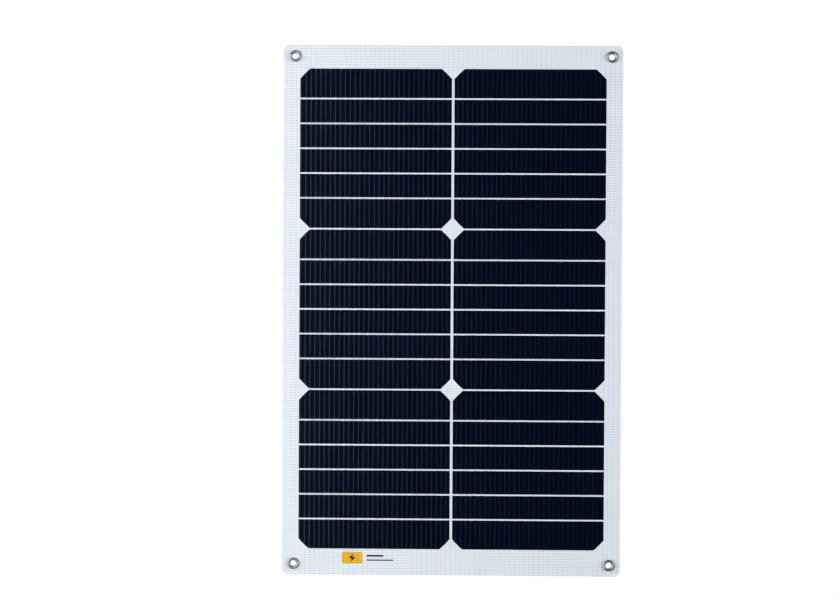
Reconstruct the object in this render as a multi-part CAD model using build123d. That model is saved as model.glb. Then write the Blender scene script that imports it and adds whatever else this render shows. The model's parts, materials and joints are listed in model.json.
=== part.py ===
"""Flexible solar sheet: a laminate of cut back-contact cells with four eyelets and a rear junction box.

The sheet stands upright. X runs across it, +Z is up its long side, the cells face -Y and the junction
box is on the +Y side. The origin is the centre of the sheet's back face. All sizes are in millimetres.

A real sheet bends as one smooth curve. Here the laminate is cut into rigid panels along the gaps
between rows of cells, and each panel turns on the next about a line in the middle of its thickness.
"""

import os
from math import sqrt

from build123d import *

# ---- the sheet's edges ----
SIDE_MARGIN = 13.45  # sheet's side edge to the cells
TOP_MARGIN = 19.3
BOTTOM_MARGIN = 21.45
SHEET_CORNER_RADIUS = 5.0

# ---- the laminate's layers, front to back ----
FRONT_SHEET = 0.40
FRONT_FILM = 0.50
REAR_FILM = 0.50
BACK_SHEET = 1.20

# ---- the cells: wafers with clipped corners, each cut into strips ----
WAFER_SIZE = 125.0
WAFER_CORNER = 8.3  # how much of each side the round ingot clips off a corner
CELL_THICKNESS = 0.18
END_STRIP = 24.1  # height of the first and last strip of a wafer
STRIPS_PER_WAFER = 6
WAFER_ROWS = 3
STRIP_GAP = 1.25  # between two strips, one above the other
COLUMN_GAP = 2.1  # between the two columns

# ---- the ribbons that join the strips in series ----
LINK_WIDTH = 79.0
LINK_OVERLAP = 1.9  # of a link on each strip it joins
LINK_THICKNESS = 0.12
CROSS_LINK_REACH = 40.0  # how far the ribbon between the columns runs under each
CROSS_LINK_HEIGHT = 5.0
CROSS_LINK_INSET = 7.0  # the ribbon's middle above the lowest strip's lower edge
CROSS_LINK_PAD = 12.0

# ---- the bend ----
ROWS_PER_PANEL = 2
FLEX_GAP = 0.5  # slit between two panels, inside a strip gap

# ---- the eyelets ----
EYELET_INSET = 9.2  # from the sheet's edges to the eyelet's centre
EYELET_BORE_RADIUS = 2.5
EYELET_WALL = 0.4
EYELET_FLANGE = 1.85  # reach of the front flange past the barrel
EYELET_DOME = 0.85  # height of the flange's crown over the sheet
EYELET_CURL = 0.65  # height of the rolled end over the washer
EYELET_CURL_WIDTH = 1.4
EYELET_LIP = 0.2  # how far the bore runs past the sheet's front and the washer
EYELET_FIT = 0.1  # radial room in the sheet and the washer
WASHER_THICKNESS = 0.5
WASHER_WIDTH = 1.75

# ---- the junction box ----
BOX_WIDTH = 76.0
BOX_HEIGHT = 46.0
BOX_TO_FLEX_LINE = 6.5  # box's lower wall to the first hinge line of the laminate
RIM_LAND = 1.8  # wall left between a gland's hole and the rim
BOX_CORNER_RADIUS = 5.0
BOX_INNER_RADIUS = 0.5  # least radius of an inner corner
BOX_WALL = 2.2
BOX_FLOOR = 2.0
ADHESIVE = 0.8
ADHESIVE_INSET = 1.5

LID_THICKNESS = 2.0
LID_GAP = 0.2  # rim to the lid's underside
SEAL_WIDTH = 1.2
SEAL_GROOVE = 1.0
RIB_CLEARANCE = 0.4
RIB_WIDTH = 1.2
TAB_WIDTH = 16.0
TAB_REACH = 2.5
TAB_THICKNESS = 1.4

PIN_RADIUS = 1.0
PIN_FIT = 0.06  # radial room of the pin in the lid's knuckle
KNUCKLE_RADIUS = 2.4
KNUCKLE_CLEARANCE = 0.3  # knuckles to the faces they turn past
LID_KNUCKLE_WIDTH = 27.0
EAR_WIDTH = 6.0
EAR_DEPTH = 4.8  # of the block under an ear's knuckle

# ---- the cable glands ----
GLAND_SPACING = 40.0
SEAL_BORE_RADIUS = 2.6  # takes the cable
SEAL_WALL = 1.1
SEAL_LENGTH = 7.0
GLAND_WALL = 0.8
GLAND_THREAD_STEP = 0.3  # how much thinner the end that passes through the box's wall is
GLAND_HEX_STEP = 1.0  # how far the hexagon's flats stand out
GLAND_HEX_LENGTH = 2.0
GLAND_LENGTH = 9.5  # box's wall to the gland body's outer end
NUT_CLEARANCE = 1.4  # nut to the sheet's back face
NUT_FIT = 0.05
NUT_WALL = 1.25
NUT_LENGTH = 9.0
NUT_END_WALL = 1.5
NUT_END_GAP = 0.2
NUT_MOUTH_STEP = 0.6  # how much wider than the sleeve's bore the mouths are
NUT_FLUTES = 12
NUT_FLUTE_RADIUS = 0.8
NUT_FLUTE_OFFSET = 0.45  # flute's centre outside the nut's surface
NUT_EDGE = 0.8

# ---- inside the box ----
LEAD_SPACING = 24.0
LEAD_WIDTH = 5.0
LEAD_DROP = 3.2  # top strip's upper edge to the leads' way through the back sheet
LEAD_SOLDERED = 12.0
LEAD_SLOT_CLEARANCE = 0.6
LEAD_ON_RAIL = 6.0
WINDOW_MARGIN = 3.0  # box floor's window around the leads
RAIL_SPACING = 28.0
RAIL_WIDTH = 10.0
RAIL_LENGTH = 21.5
RAIL_THICKNESS = 0.8
RAIL_HEIGHT = 2.2  # posts under the rails, over the box's floor
RAIL_GAP = 0.5  # lead to the rail's upper end
POST_LENGTH = 4.0
POST_INSET = 1.0
DIODE_RADIUS = 2.3
DIODE_LENGTH = 9.0
DIODE_WIRE_RADIUS = 0.5
DIODE_WIRE_ON_RAIL = 6.0
DIODE_DROP = 12.0  # rail's upper end to the diode

# ---- what follows from them ----
ROWS = WAFER_ROWS * STRIPS_PER_WAFER
PANELS = ROWS // ROWS_PER_PANEL
WAFER_RADIUS = sqrt((WAFER_SIZE / 2) ** 2 + (WAFER_SIZE / 2 - WAFER_CORNER) ** 2)
MIDDLE_STRIP = (WAFER_SIZE - 2 * END_STRIP) / (STRIPS_PER_WAFER - 2)
COLUMNS = [side * (WAFER_SIZE + COLUMN_GAP) / 2 for side in (-1, 1)]
SHEET_WIDTH = 2 * SIDE_MARGIN + 2 * WAFER_SIZE + COLUMN_GAP
SHEET_HEIGHT = TOP_MARGIN + WAFER_ROWS * WAFER_SIZE + (ROWS - 1) * STRIP_GAP + BOTTOM_MARGIN

SHEET_TOP = SHEET_HEIGHT / 2
Y_BACK_SHEET = -BACK_SHEET  # front face of each layer, from the back
Y_REAR_FILM = Y_BACK_SHEET - REAR_FILM
Y_FRONT_FILM = Y_REAR_FILM - FRONT_FILM
Y_FRONT = Y_FRONT_FILM - FRONT_SHEET
Y_CELL_BACK = Y_REAR_FILM + CELL_THICKNESS
Y_LINK_BACK = Y_CELL_BACK + LINK_THICKNESS
Y_FLEX = Y_FRONT / 2  # the hinge lines, in the middle of the laminate

EYELET_X = SHEET_WIDTH / 2 - EYELET_INSET
EYELET_Z = SHEET_HEIGHT / 2 - EYELET_INSET
EYELET_BARREL_RADIUS = EYELET_BORE_RADIUS + EYELET_WALL
EYELET_HOLE_RADIUS = EYELET_BARREL_RADIUS + EYELET_FIT

GLAND_BORE_RADIUS = SEAL_BORE_RADIUS + SEAL_WALL
GLAND_BODY_RADIUS = GLAND_BORE_RADIUS + GLAND_WALL
GLAND_THREAD_RADIUS = GLAND_BODY_RADIUS - GLAND_THREAD_STEP
GLAND_MOUTH_RADIUS = SEAL_BORE_RADIUS + NUT_MOUTH_STEP
NUT_RADIUS = GLAND_BODY_RADIUS + NUT_FIT + NUT_WALL
GLAND_AXIS = NUT_RADIUS + NUT_CLEARANCE  # from the sheet's back face
Y_BOX_FLOOR = ADHESIVE + BOX_FLOOR
Y_RIM = GLAND_AXIS + GLAND_THREAD_RADIUS + RIM_LAND
Y_LID = Y_RIM + LID_GAP
Y_LID_OUT = Y_LID + LID_THICKNESS
Y_PIN = Y_LID
LEAD_Z = SHEET_TOP - TOP_MARGIN - LEAD_DROP
Y_RAIL = Y_BOX_FLOOR + RAIL_HEIGHT
Y_RAIL_TOP = Y_RAIL + RAIL_THICKNESS
RAIL_TOP = LEAD_Z - RAIL_GAP
GLAND_XS = [side * GLAND_SPACING / 2 for side in (-1, 1)]


# ---- helpers ----
def plate(outline, y_front, y_back):
    """An outline drawn in X and Z, made solid between two depths."""
    return extrude(Plane.XZ.offset(-y_back) * outline, y_back - y_front)


def slab(x0, x1, y0, y1, z0, z1):
    """A block between two corners."""
    return Pos((x0 + x1) / 2, (y0 + y1) / 2, (z0 + z1) / 2) * Box(x1 - x0, y1 - y0, z1 - z0)


def upright_cylinder(radius, x, y, z0, z1):
    """A round bar along Z."""
    return Pos(x, y, (z0 + z1) / 2) * Cylinder(radius, z1 - z0)


def cross_cylinder(radius, y, z, x0, x1):
    """A round bar along X."""
    return Pos((x0 + x1) / 2, y, z) * Rot(0, 90, 0) * Cylinder(radius, x1 - x0)


def save(name, *solids):
    """Writes one node, as one or more separate solids."""
    shape = solids[0] if len(solids) == 1 else Compound(children=list(solids))
    export_step(shape, os.path.join("parts", name + ".step"))


# ---- where things are ----
def strip_rows():
    """Every row of strips from the top: its upper edge, its lower edge and its wafer's centre."""
    rows = []
    top = SHEET_TOP - TOP_MARGIN
    for _ in range(WAFER_ROWS):
        for strip in range(STRIPS_PER_WAFER):
            first, last = strip == 0, strip == STRIPS_PER_WAFER - 1
            bottom = top - (END_STRIP if first or last else MIDDLE_STRIP)
            wafer = top - WAFER_SIZE / 2 if first else bottom + WAFER_SIZE / 2 if last else None
            rows.append((top, bottom, wafer))
            top = bottom - STRIP_GAP
    return rows


STRIP_ROWS = strip_rows()


def flex_lines():
    """Heights of the hinge lines between the panels, from the top."""
    last_rows = range(ROWS_PER_PANEL - 1, ROWS - 1, ROWS_PER_PANEL)
    return [STRIP_ROWS[row][1] - STRIP_GAP / 2 for row in last_rows]


FLEX_LINES = flex_lines()
BOX_BOTTOM = FLEX_LINES[0] + BOX_TO_FLEX_LINE
BOX_TOP = BOX_BOTTOM + BOX_HEIGHT
BOX_MIDDLE = (BOX_TOP + BOX_BOTTOM) / 2
Z_PIN = BOX_TOP + KNUCKLE_RADIUS + KNUCKLE_CLEARANCE


def panel_span(panel):
    """Upper and lower edge of one panel of the laminate. Panel 1 is the top one."""
    top = SHEET_TOP if panel == 1 else FLEX_LINES[panel - 2] - FLEX_GAP / 2
    bottom = -SHEET_TOP if panel == PANELS else FLEX_LINES[panel - 1] + FLEX_GAP / 2
    return top, bottom


def panel_rows(panel):
    """Numbers of the rows of strips in one panel."""
    return range((panel - 1) * ROWS_PER_PANEL, panel * ROWS_PER_PANEL)


# ---- the laminate ----
def sheet_outline():
    """The whole sheet, with its rounded corners and the four eyelet holes."""
    outline = RectangleRounded(SHEET_WIDTH, SHEET_HEIGHT, SHEET_CORNER_RADIUS)
    for x in (-EYELET_X, EYELET_X):
        for z in (-EYELET_Z, EYELET_Z):
            outline -= Pos(x, z) * Circle(EYELET_HOLE_RADIUS)
    return outline


def layer(panel, y_front, y_back):
    """One panel's share of a layer of the laminate."""
    top, bottom = panel_span(panel)
    half = SHEET_WIDTH / 2
    return plate(sheet_outline(), y_front, y_back) & slab(-half, half, y_front, y_back, bottom, top)


def strips(panel):
    """The cell strips of one panel. The end strips of a wafer have its clipped corners."""
    made = []
    for row in panel_rows(panel):
        top, bottom, wafer = STRIP_ROWS[row]
        for x in COLUMNS:
            outline = Pos(x, (top + bottom) / 2) * Rectangle(WAFER_SIZE, top - bottom)
            if wafer is not None:
                outline &= Pos(x, wafer) * Circle(WAFER_RADIUS)
            made.append(plate(outline, Y_REAR_FILM, Y_CELL_BACK))
    return made


def links(panel):
    """The ribbons behind the strips. One that crosses a hinge line is in two halves, one on each panel."""
    made = []
    panel_top, panel_bottom = panel_span(panel)
    for row in range(ROWS - 1):
        upper_edge = STRIP_ROWS[row][1] + LINK_OVERLAP
        lower_edge = STRIP_ROWS[row + 1][0] - LINK_OVERLAP
        top, bottom = min(upper_edge, panel_top), max(lower_edge, panel_bottom)
        if top - bottom > 0 and {row, row + 1} & set(panel_rows(panel)):
            for x in COLUMNS:
                left, right = x - LINK_WIDTH / 2, x + LINK_WIDTH / 2
                made.append(slab(left, right, Y_CELL_BACK, Y_LINK_BACK, bottom, top))
    return made


def cross_link():
    """The ribbon that joins the two columns, deeper than the links, with a pad on each lowest strip."""
    middle = STRIP_ROWS[-1][1] + CROSS_LINK_INSET
    bottom, top = middle - CROSS_LINK_HEIGHT / 2, middle + CROSS_LINK_HEIGHT / 2
    reach = COLUMN_GAP / 2 + CROSS_LINK_REACH
    ribbon = slab(-reach, reach, Y_LINK_BACK, Y_LINK_BACK + LINK_THICKNESS, bottom, top)
    ribbon += slab(-reach, CROSS_LINK_PAD - reach, Y_CELL_BACK, Y_LINK_BACK, bottom, top)
    ribbon += slab(reach - CROSS_LINK_PAD, reach, Y_CELL_BACK, Y_LINK_BACK, bottom, top)
    return ribbon


def lead(x):
    """A ribbon from the top strip, out through the back sheet and on to its rail in the box."""
    t = LINK_THICKNESS
    z = LEAD_Z
    path = [
        (Y_CELL_BACK, z - LEAD_SOLDERED),
        (Y_CELL_BACK, z + t),
        (Y_RAIL_TOP + t, z + t),
        (Y_RAIL_TOP + t, z - LEAD_ON_RAIL),
        (Y_RAIL_TOP, z - LEAD_ON_RAIL),
        (Y_RAIL_TOP, z),
        (Y_LINK_BACK, z),
        (Y_LINK_BACK, z - LEAD_SOLDERED),
    ]
    side_view = Plane.YZ.offset(x - LEAD_WIDTH / 2) * make_face(Polyline(*path, close=True))
    return extrude(side_view, LEAD_WIDTH)


def lead_slots(y_front, y_back):
    """The ways through a layer for the two leads."""
    room = LEAD_SLOT_CLEARANCE
    half = LEAD_WIDTH / 2 + room
    bottom, top = LEAD_Z - room, LEAD_Z + LINK_THICKNESS + room
    xs = (-LEAD_SPACING / 2, LEAD_SPACING / 2)
    return [slab(x - half, x + half, y_front, y_back, bottom, top) for x in xs]


def build_laminate():
    for panel in range(1, PANELS + 1):
        cells, ribbons = strips(panel), links(panel)
        rear_film = layer(panel, Y_REAR_FILM, Y_BACK_SHEET)
        back_sheet = layer(panel, Y_BACK_SHEET, 0)
        if panel == 1:
            for slot in lead_slots(Y_CELL_BACK, 0):
                rear_film -= slot
                back_sheet -= slot
            for x in (-LEAD_SPACING / 2, LEAD_SPACING / 2):
                rear_film -= lead(x)
        if panel == PANELS:
            ribbons.append(cross_link())
        for inner in cells + ribbons:
            rear_film -= inner
        save(f"front_sheet_{panel}", layer(panel, Y_FRONT, Y_FRONT_FILM))
        save(f"encapsulant_{panel}", layer(panel, Y_FRONT_FILM, Y_REAR_FILM), rear_film)
        save(f"cells_{panel}", *cells)
        save(f"cell_links_{panel}", *ribbons)
        save(f"back_sheet_{panel}", back_sheet)


# ---- the eyelets ----
def turned(points_and_arcs, x, z):
    """A profile in radius and Y, turned about a line along Y through x and z."""
    profile = Plane.XY * make_face(points_and_arcs)
    return Pos(x, 0, z) * revolve(profile, Axis.Y, 360)


def eyelet(x, z):
    """The barrel with its domed front flange and its rear end rolled over the washer."""
    bore, barrel = EYELET_BORE_RADIUS, EYELET_BARREL_RADIUS
    flange = barrel + EYELET_FLANGE
    curl = barrel + EYELET_CURL_WIDTH
    front_lip, rear_lip = Y_FRONT - EYELET_LIP, WASHER_THICKNESS + EYELET_LIP
    crown = ((flange + bore) / 2, Y_FRONT - EYELET_DOME)
    rear = WASHER_THICKNESS
    roll = ((bore + curl) / 2, rear + EYELET_CURL)
    outline = [
        Line((barrel, rear), (barrel, Y_FRONT)),
        Line((barrel, Y_FRONT), (flange, Y_FRONT)),
        ThreePointArc((flange, Y_FRONT), crown, (bore, front_lip)),
        Line((bore, front_lip), (bore, rear_lip)),
        ThreePointArc((bore, rear_lip), roll, (curl, rear)),
        Line((curl, rear), (barrel, rear)),
    ]
    return turned(outline, x, z)


def washer(x, z):
    """The flat ring between the back sheet and the eyelet's rolled end."""
    ring = Circle(EYELET_HOLE_RADIUS + WASHER_WIDTH) - Circle(EYELET_HOLE_RADIUS)
    return plate(Pos(x, z) * ring, 0, WASHER_THICKNESS)


def build_eyelets():
    for name, z in (("top", EYELET_Z), ("bottom", -EYELET_Z)):
        save(f"eyelets_{name}", *[eyelet(x, z) for x in (-EYELET_X, EYELET_X)])
        save(f"eyelet_washers_{name}", *[washer(x, z) for x in (-EYELET_X, EYELET_X)])


# ---- the junction box ----
def box_outline(inset=0.0):
    """The box's outline seen from behind, taken in by an inset."""
    radius = max(BOX_CORNER_RADIUS - inset, BOX_INNER_RADIUS)
    rectangle = RectangleRounded(BOX_WIDTH - 2 * inset, BOX_HEIGHT - 2 * inset, radius)
    return Pos(0, BOX_MIDDLE) * rectangle


def lead_window(margin):
    """The window that lets both leads through."""
    width = LEAD_SPACING + LEAD_WIDTH + 2 * margin
    height = LINK_THICKNESS + 2 * margin
    return Pos(0, LEAD_Z + LINK_THICKNESS / 2) * Rectangle(width, height)


def ear(x0, x1):
    """A knuckle that stands off the box's upper wall and holds the pin."""
    knuckle = cross_cylinder(KNUCKLE_RADIUS, Y_PIN, Z_PIN, x0, x1)
    wall_middle, top = BOX_TOP - BOX_WALL / 2, Z_PIN + KNUCKLE_RADIUS
    return knuckle + slab(x0, x1, Y_PIN - EAR_DEPTH, Y_RIM, wall_middle, top)


def rail_posts():
    """The blocks that hold the rails off the floor."""
    made = []
    upper_post = RAIL_TOP - WINDOW_MARGIN - POST_INSET
    lower_post = RAIL_TOP - RAIL_LENGTH + POST_INSET + POST_LENGTH
    for x in (-RAIL_SPACING / 2, RAIL_SPACING / 2):
        left, right = x - RAIL_WIDTH / 2 + POST_INSET, x + RAIL_WIDTH / 2 - POST_INSET
        for top in (upper_post, lower_post):
            made.append(slab(left, right, Y_BOX_FLOOR, Y_RAIL, top - POST_LENGTH, top))
    return made


def box_base():
    """The open box: floor with a window for the leads, four walls, two ears and two gland holes."""
    body = plate(box_outline(), ADHESIVE, Y_RIM) - plate(box_outline(BOX_WALL), Y_BOX_FLOOR, Y_RIM)
    body -= plate(lead_window(WINDOW_MARGIN), ADHESIVE, Y_BOX_FLOOR)
    for post in rail_posts():
        body += post
    inner = LID_KNUCKLE_WIDTH / 2 + KNUCKLE_CLEARANCE
    for x0, x1 in ((-inner - EAR_WIDTH, -inner), (inner, inner + EAR_WIDTH)):
        body += ear(x0, x1)
    body -= cross_cylinder(PIN_RADIUS, Y_PIN, Z_PIN, -inner - EAR_WIDTH, inner + EAR_WIDTH)
    for x in GLAND_XS:
        body -= upright_cylinder(GLAND_THREAD_RADIUS, x, GLAND_AXIS, BOX_BOTTOM, BOX_BOTTOM + BOX_WALL)
    return body


def seal_ring(y_front, y_back):
    """The square ring that sits in the lid and presses on the middle of the rim."""
    inset = (BOX_WALL - SEAL_WIDTH) / 2
    return plate(box_outline(inset) - box_outline(inset + SEAL_WIDTH), y_front, y_back)


def box_lid():
    """The lid: plate, locating rib, seal groove, finger tab and one wide knuckle."""
    lid = plate(box_outline(), Y_LID, Y_LID_OUT)
    rib_inset = BOX_WALL + RIB_CLEARANCE
    rib = box_outline(rib_inset) - box_outline(rib_inset + RIB_WIDTH)
    lid += plate(rib, Y_LID - (RIM_LAND - RIB_CLEARANCE), Y_LID)
    tab_half, tab_end = TAB_WIDTH / 2, BOX_BOTTOM - TAB_REACH
    lid += slab(-tab_half, tab_half, Y_LID_OUT - TAB_THICKNESS, Y_LID_OUT, tab_end, BOX_BOTTOM)
    half = LID_KNUCKLE_WIDTH / 2
    lid += cross_cylinder(KNUCKLE_RADIUS, Y_PIN, Z_PIN, -half, half)
    lid += slab(-half, half, Y_LID, Y_LID_OUT, BOX_TOP - BOX_WALL, Z_PIN)
    lid -= cross_cylinder(PIN_RADIUS + PIN_FIT, Y_PIN, Z_PIN, -half, half)
    lid -= seal_ring(Y_LID, Y_LID + SEAL_GROOVE)
    return lid


def hinge_pin():
    half = LID_KNUCKLE_WIDTH / 2 + KNUCKLE_CLEARANCE + EAR_WIDTH
    return cross_cylinder(PIN_RADIUS, Y_PIN, Z_PIN, -half, half)


def gland_body(x):
    """A hollow threaded body with a hexagon against the box's wall."""
    hexagon = RegularPolygon(GLAND_BODY_RADIUS + GLAND_HEX_STEP, 6, major_radius=False)
    under_wall = Plane.XY.offset(BOX_BOTTOM - GLAND_HEX_LENGTH)
    flats = extrude(under_wall * Pos(x, GLAND_AXIS) * hexagon, GLAND_HEX_LENGTH)
    outer = BOX_BOTTOM - GLAND_LENGTH
    inner = BOX_BOTTOM + BOX_WALL
    body = flats + upright_cylinder(GLAND_BODY_RADIUS, x, GLAND_AXIS, outer, BOX_BOTTOM)
    body += upright_cylinder(GLAND_THREAD_RADIUS, x, GLAND_AXIS, BOX_BOTTOM, inner)
    body -= upright_cylinder(GLAND_BORE_RADIUS, x, GLAND_AXIS, outer, BOX_BOTTOM)
    return body - upright_cylinder(GLAND_MOUTH_RADIUS, x, GLAND_AXIS, BOX_BOTTOM, inner)


def gland_seal(x):
    """The rubber sleeve that the nut squeezes on the cable."""
    outer = BOX_BOTTOM - GLAND_LENGTH
    sleeve = upright_cylinder(GLAND_BORE_RADIUS, x, GLAND_AXIS, outer, outer + SEAL_LENGTH)
    return sleeve - upright_cylinder(SEAL_BORE_RADIUS, x, GLAND_AXIS, outer, outer + SEAL_LENGTH)


def gland_nut(x):
    """The fluted cap that screws over the gland body."""
    bottom = BOX_BOTTOM - GLAND_LENGTH - NUT_END_GAP - NUT_END_WALL
    top = bottom + NUT_LENGTH
    nut = upright_cylinder(NUT_RADIUS, x, GLAND_AXIS, bottom, top)
    nut = fillet(nut.faces().sort_by(Axis.Z)[0].edges(), NUT_EDGE)
    for flute in range(NUT_FLUTES):
        turn = Pos(x, GLAND_AXIS, 0) * Rot(0, 0, flute * 360 / NUT_FLUTES)
        nut -= turn * upright_cylinder(NUT_FLUTE_RADIUS, NUT_RADIUS + NUT_FLUTE_OFFSET, 0, bottom, top)
    nut -= upright_cylinder(GLAND_BODY_RADIUS + NUT_FIT, x, GLAND_AXIS, bottom + NUT_END_WALL, top)
    return nut - upright_cylinder(GLAND_MOUTH_RADIUS, x, GLAND_AXIS, bottom, top)


def rail(x):
    """A tinned plate that joins a lead, a cable core and a diode wire."""
    half = RAIL_WIDTH / 2
    return slab(x - half, x + half, Y_RAIL, Y_RAIL_TOP, RAIL_TOP - RAIL_LENGTH, RAIL_TOP)


def diode():
    """The bypass diode: a round body with a wire on each rail."""
    z = RAIL_TOP - DIODE_DROP
    y = Y_RAIL_TOP + DIODE_WIRE_RADIUS
    reach = RAIL_SPACING / 2 - RAIL_WIDTH / 2 + DIODE_WIRE_ON_RAIL
    body = cross_cylinder(DIODE_RADIUS, y, z, -DIODE_LENGTH / 2, DIODE_LENGTH / 2)
    return body + cross_cylinder(DIODE_WIRE_RADIUS, y, z, -reach, reach)


def build_box():
    pad = plate(box_outline(ADHESIVE_INSET), 0, ADHESIVE) - plate(lead_window(WINDOW_MARGIN), 0, ADHESIVE)
    save("box_adhesive", pad)
    save("box_base", box_base())
    save("box_lid", box_lid())
    save("lid_seal", seal_ring(Y_RIM, Y_LID + SEAL_GROOVE))
    save("lid_hinge_pin", hinge_pin())
    save("gland_bodies", *[gland_body(x) for x in GLAND_XS])
    save("gland_seals", *[gland_seal(x) for x in GLAND_XS])
    save("gland_nuts", *[gland_nut(x) for x in GLAND_XS])
    save("contact_rails", *[rail(x) for x in (-RAIL_SPACING / 2, RAIL_SPACING / 2)])
    save("bypass_diode", diode())
    save("output_leads", *[lead(x) for x in (-LEAD_SPACING / 2, LEAD_SPACING / 2)])


def main():
    os.makedirs("parts", exist_ok=True)
    build_laminate()
    build_eyelets()
    build_box()


main()
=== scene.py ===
# %% [markdown]
# # A flexible solar sheet
# The object is a thin laminate that bends: a clear embossed film, dark cells, a white film and a stiff
# white back sheet, with four steel eyelets and a junction box behind. The CAD model already holds every
# rigid part in its place. This script dresses it: it replaces the flat layers with meshes that are sliced
# across so that they can bend as one smooth curve, and gives each part the finish of its real material.

# %% The frame
import json
import math

import bmesh
import bpy
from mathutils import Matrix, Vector

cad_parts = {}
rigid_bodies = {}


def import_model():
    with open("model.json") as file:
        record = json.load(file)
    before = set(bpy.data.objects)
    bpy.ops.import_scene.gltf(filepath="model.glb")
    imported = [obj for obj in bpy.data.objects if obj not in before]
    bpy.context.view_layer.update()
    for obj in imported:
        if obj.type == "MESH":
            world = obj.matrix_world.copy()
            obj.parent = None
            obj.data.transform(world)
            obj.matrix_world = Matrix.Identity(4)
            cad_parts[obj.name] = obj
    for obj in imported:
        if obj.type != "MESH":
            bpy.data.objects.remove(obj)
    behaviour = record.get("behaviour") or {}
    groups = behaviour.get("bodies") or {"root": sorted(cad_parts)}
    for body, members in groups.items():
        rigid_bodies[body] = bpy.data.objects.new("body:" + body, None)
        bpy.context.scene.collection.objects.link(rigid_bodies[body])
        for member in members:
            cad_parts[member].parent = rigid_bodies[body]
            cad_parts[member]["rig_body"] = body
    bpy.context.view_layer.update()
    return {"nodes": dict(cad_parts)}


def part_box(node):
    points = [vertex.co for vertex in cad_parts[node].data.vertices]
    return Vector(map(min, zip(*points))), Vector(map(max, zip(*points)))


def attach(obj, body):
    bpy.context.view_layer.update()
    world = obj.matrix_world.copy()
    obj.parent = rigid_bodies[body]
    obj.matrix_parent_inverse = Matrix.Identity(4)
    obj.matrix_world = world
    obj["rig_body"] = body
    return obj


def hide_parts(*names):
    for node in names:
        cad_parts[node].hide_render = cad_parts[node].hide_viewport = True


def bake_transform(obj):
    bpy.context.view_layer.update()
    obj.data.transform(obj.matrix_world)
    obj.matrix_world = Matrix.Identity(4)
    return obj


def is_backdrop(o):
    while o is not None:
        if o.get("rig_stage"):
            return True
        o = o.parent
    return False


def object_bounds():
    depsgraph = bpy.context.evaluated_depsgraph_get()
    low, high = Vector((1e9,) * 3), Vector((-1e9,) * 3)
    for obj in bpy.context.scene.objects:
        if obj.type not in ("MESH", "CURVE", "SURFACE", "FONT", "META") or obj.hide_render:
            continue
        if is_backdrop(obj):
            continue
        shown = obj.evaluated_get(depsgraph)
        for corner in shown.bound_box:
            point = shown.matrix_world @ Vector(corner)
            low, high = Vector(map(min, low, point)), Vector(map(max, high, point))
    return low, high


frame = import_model()
nodes = frame["nodes"]
MM = 0.001


# %% [markdown]
# Most places below come from the CAD boxes, so a changed part moves its looks with it. Sizes that a box
# can't tell, such as the radius of the sheet's corners, are named values. A panel is one rigid piece of the
# laminate, and the panels lie one under the other.

# %% Places
def span(node):
    """Lowest and highest corner of a CAD node, in metres."""
    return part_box(node)


PANELS = sum(name.startswith("back_sheet_") for name in nodes)
panel_boxes = [span(f"back_sheet_{k}") for k in range(1, PANELS + 1)]
half_width = panel_boxes[0][1].x
top_z, bottom_z = panel_boxes[0][1].z, panel_boxes[-1][0].z
y_front = span("front_sheet_1")[0].y
y_film = span("cells_1")[0].y
y_back_sheet = span("back_sheet_1")[0].y
y_cell_back = span("cells_1")[1].y
corner_radius = 5.0 * MM
eyelet_hole = 3.0 * MM  # radius of the holes in the layers, in which the eyelets' barrels sit
eyelet_low, eyelet_high = span("eyelets_top")
eyelet_radius = (eyelet_high.z - eyelet_low.z) / 2
eyelet_x = eyelet_high.x - eyelet_radius
eyelet_z = eyelet_high.z - eyelet_radius
sheet_width, sheet_height = 2 * half_width, top_z - bottom_z
print(PANELS, "panels, sheet", round(sheet_width / MM, 1), "by", round(sheet_height / MM, 1), "mm")


# %% [markdown]
# ## Materials
# A material is a small tree of nodes. A few helpers keep the trees short. One turns the hex colours that a
# maker would write down into the linear values that the shader wants. One adds a node with its settings and
# its links in one line. The last draws lines at an even pitch, for whatever is woven or pressed.

# %% Material helpers
def linear(hex_colour):
    """An sRGB hex colour as linear RGBA."""
    channels = [int(hex_colour[i : i + 2], 16) / 255 for i in (1, 3, 5)]
    bent = [c / 12.92 if c <= 0.04045 else ((c + 0.055) / 1.055) ** 2.4 for c in channels]
    return (*bent, 1.0)


def add_node(tree, kind, settings=None, **inputs):
    """Adds a node. An input is a value, or another node's socket to link from."""
    node = tree.nodes.new(kind)
    for name, value in (settings or {}).items():
        setattr(node, name, value)
    for name, value in inputs.items():
        key = int(name[1:]) if name[0] == "i" and name[1:].isdigit() else name.replace("_", " ")
        if isinstance(value, bpy.types.NodeSocket):
            tree.links.new(value, node.inputs[key])
        else:
            node.inputs[key].default_value = value
    return node


def new_material(name):
    """An empty node material, and its tree."""
    material = bpy.data.materials.new(name)
    material.use_nodes = True
    material.node_tree.nodes.clear()
    return material, material.node_tree


def finish_material(tree, shader):
    """Links the shader to the material's output."""
    add_node(tree, "ShaderNodeOutputMaterial", Surface=shader.outputs[0])


def math_node(tree, operation, first, second=0.0):
    """One sum on two values."""
    node = add_node(tree, "ShaderNodeMath", {"operation": operation}, i0=first, i1=second)
    return node.outputs[0]


def sheet_axes(tree):
    """The sheet's own two axes in metres, across and up, from the map that each layer carries."""
    place = add_node(tree, "ShaderNodeUVMap", {"uv_map": "sheet"})
    axes = add_node(tree, "ShaderNodeSeparateXYZ", Vector=place.outputs[0])
    return axes.outputs[0], axes.outputs[1]


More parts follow.
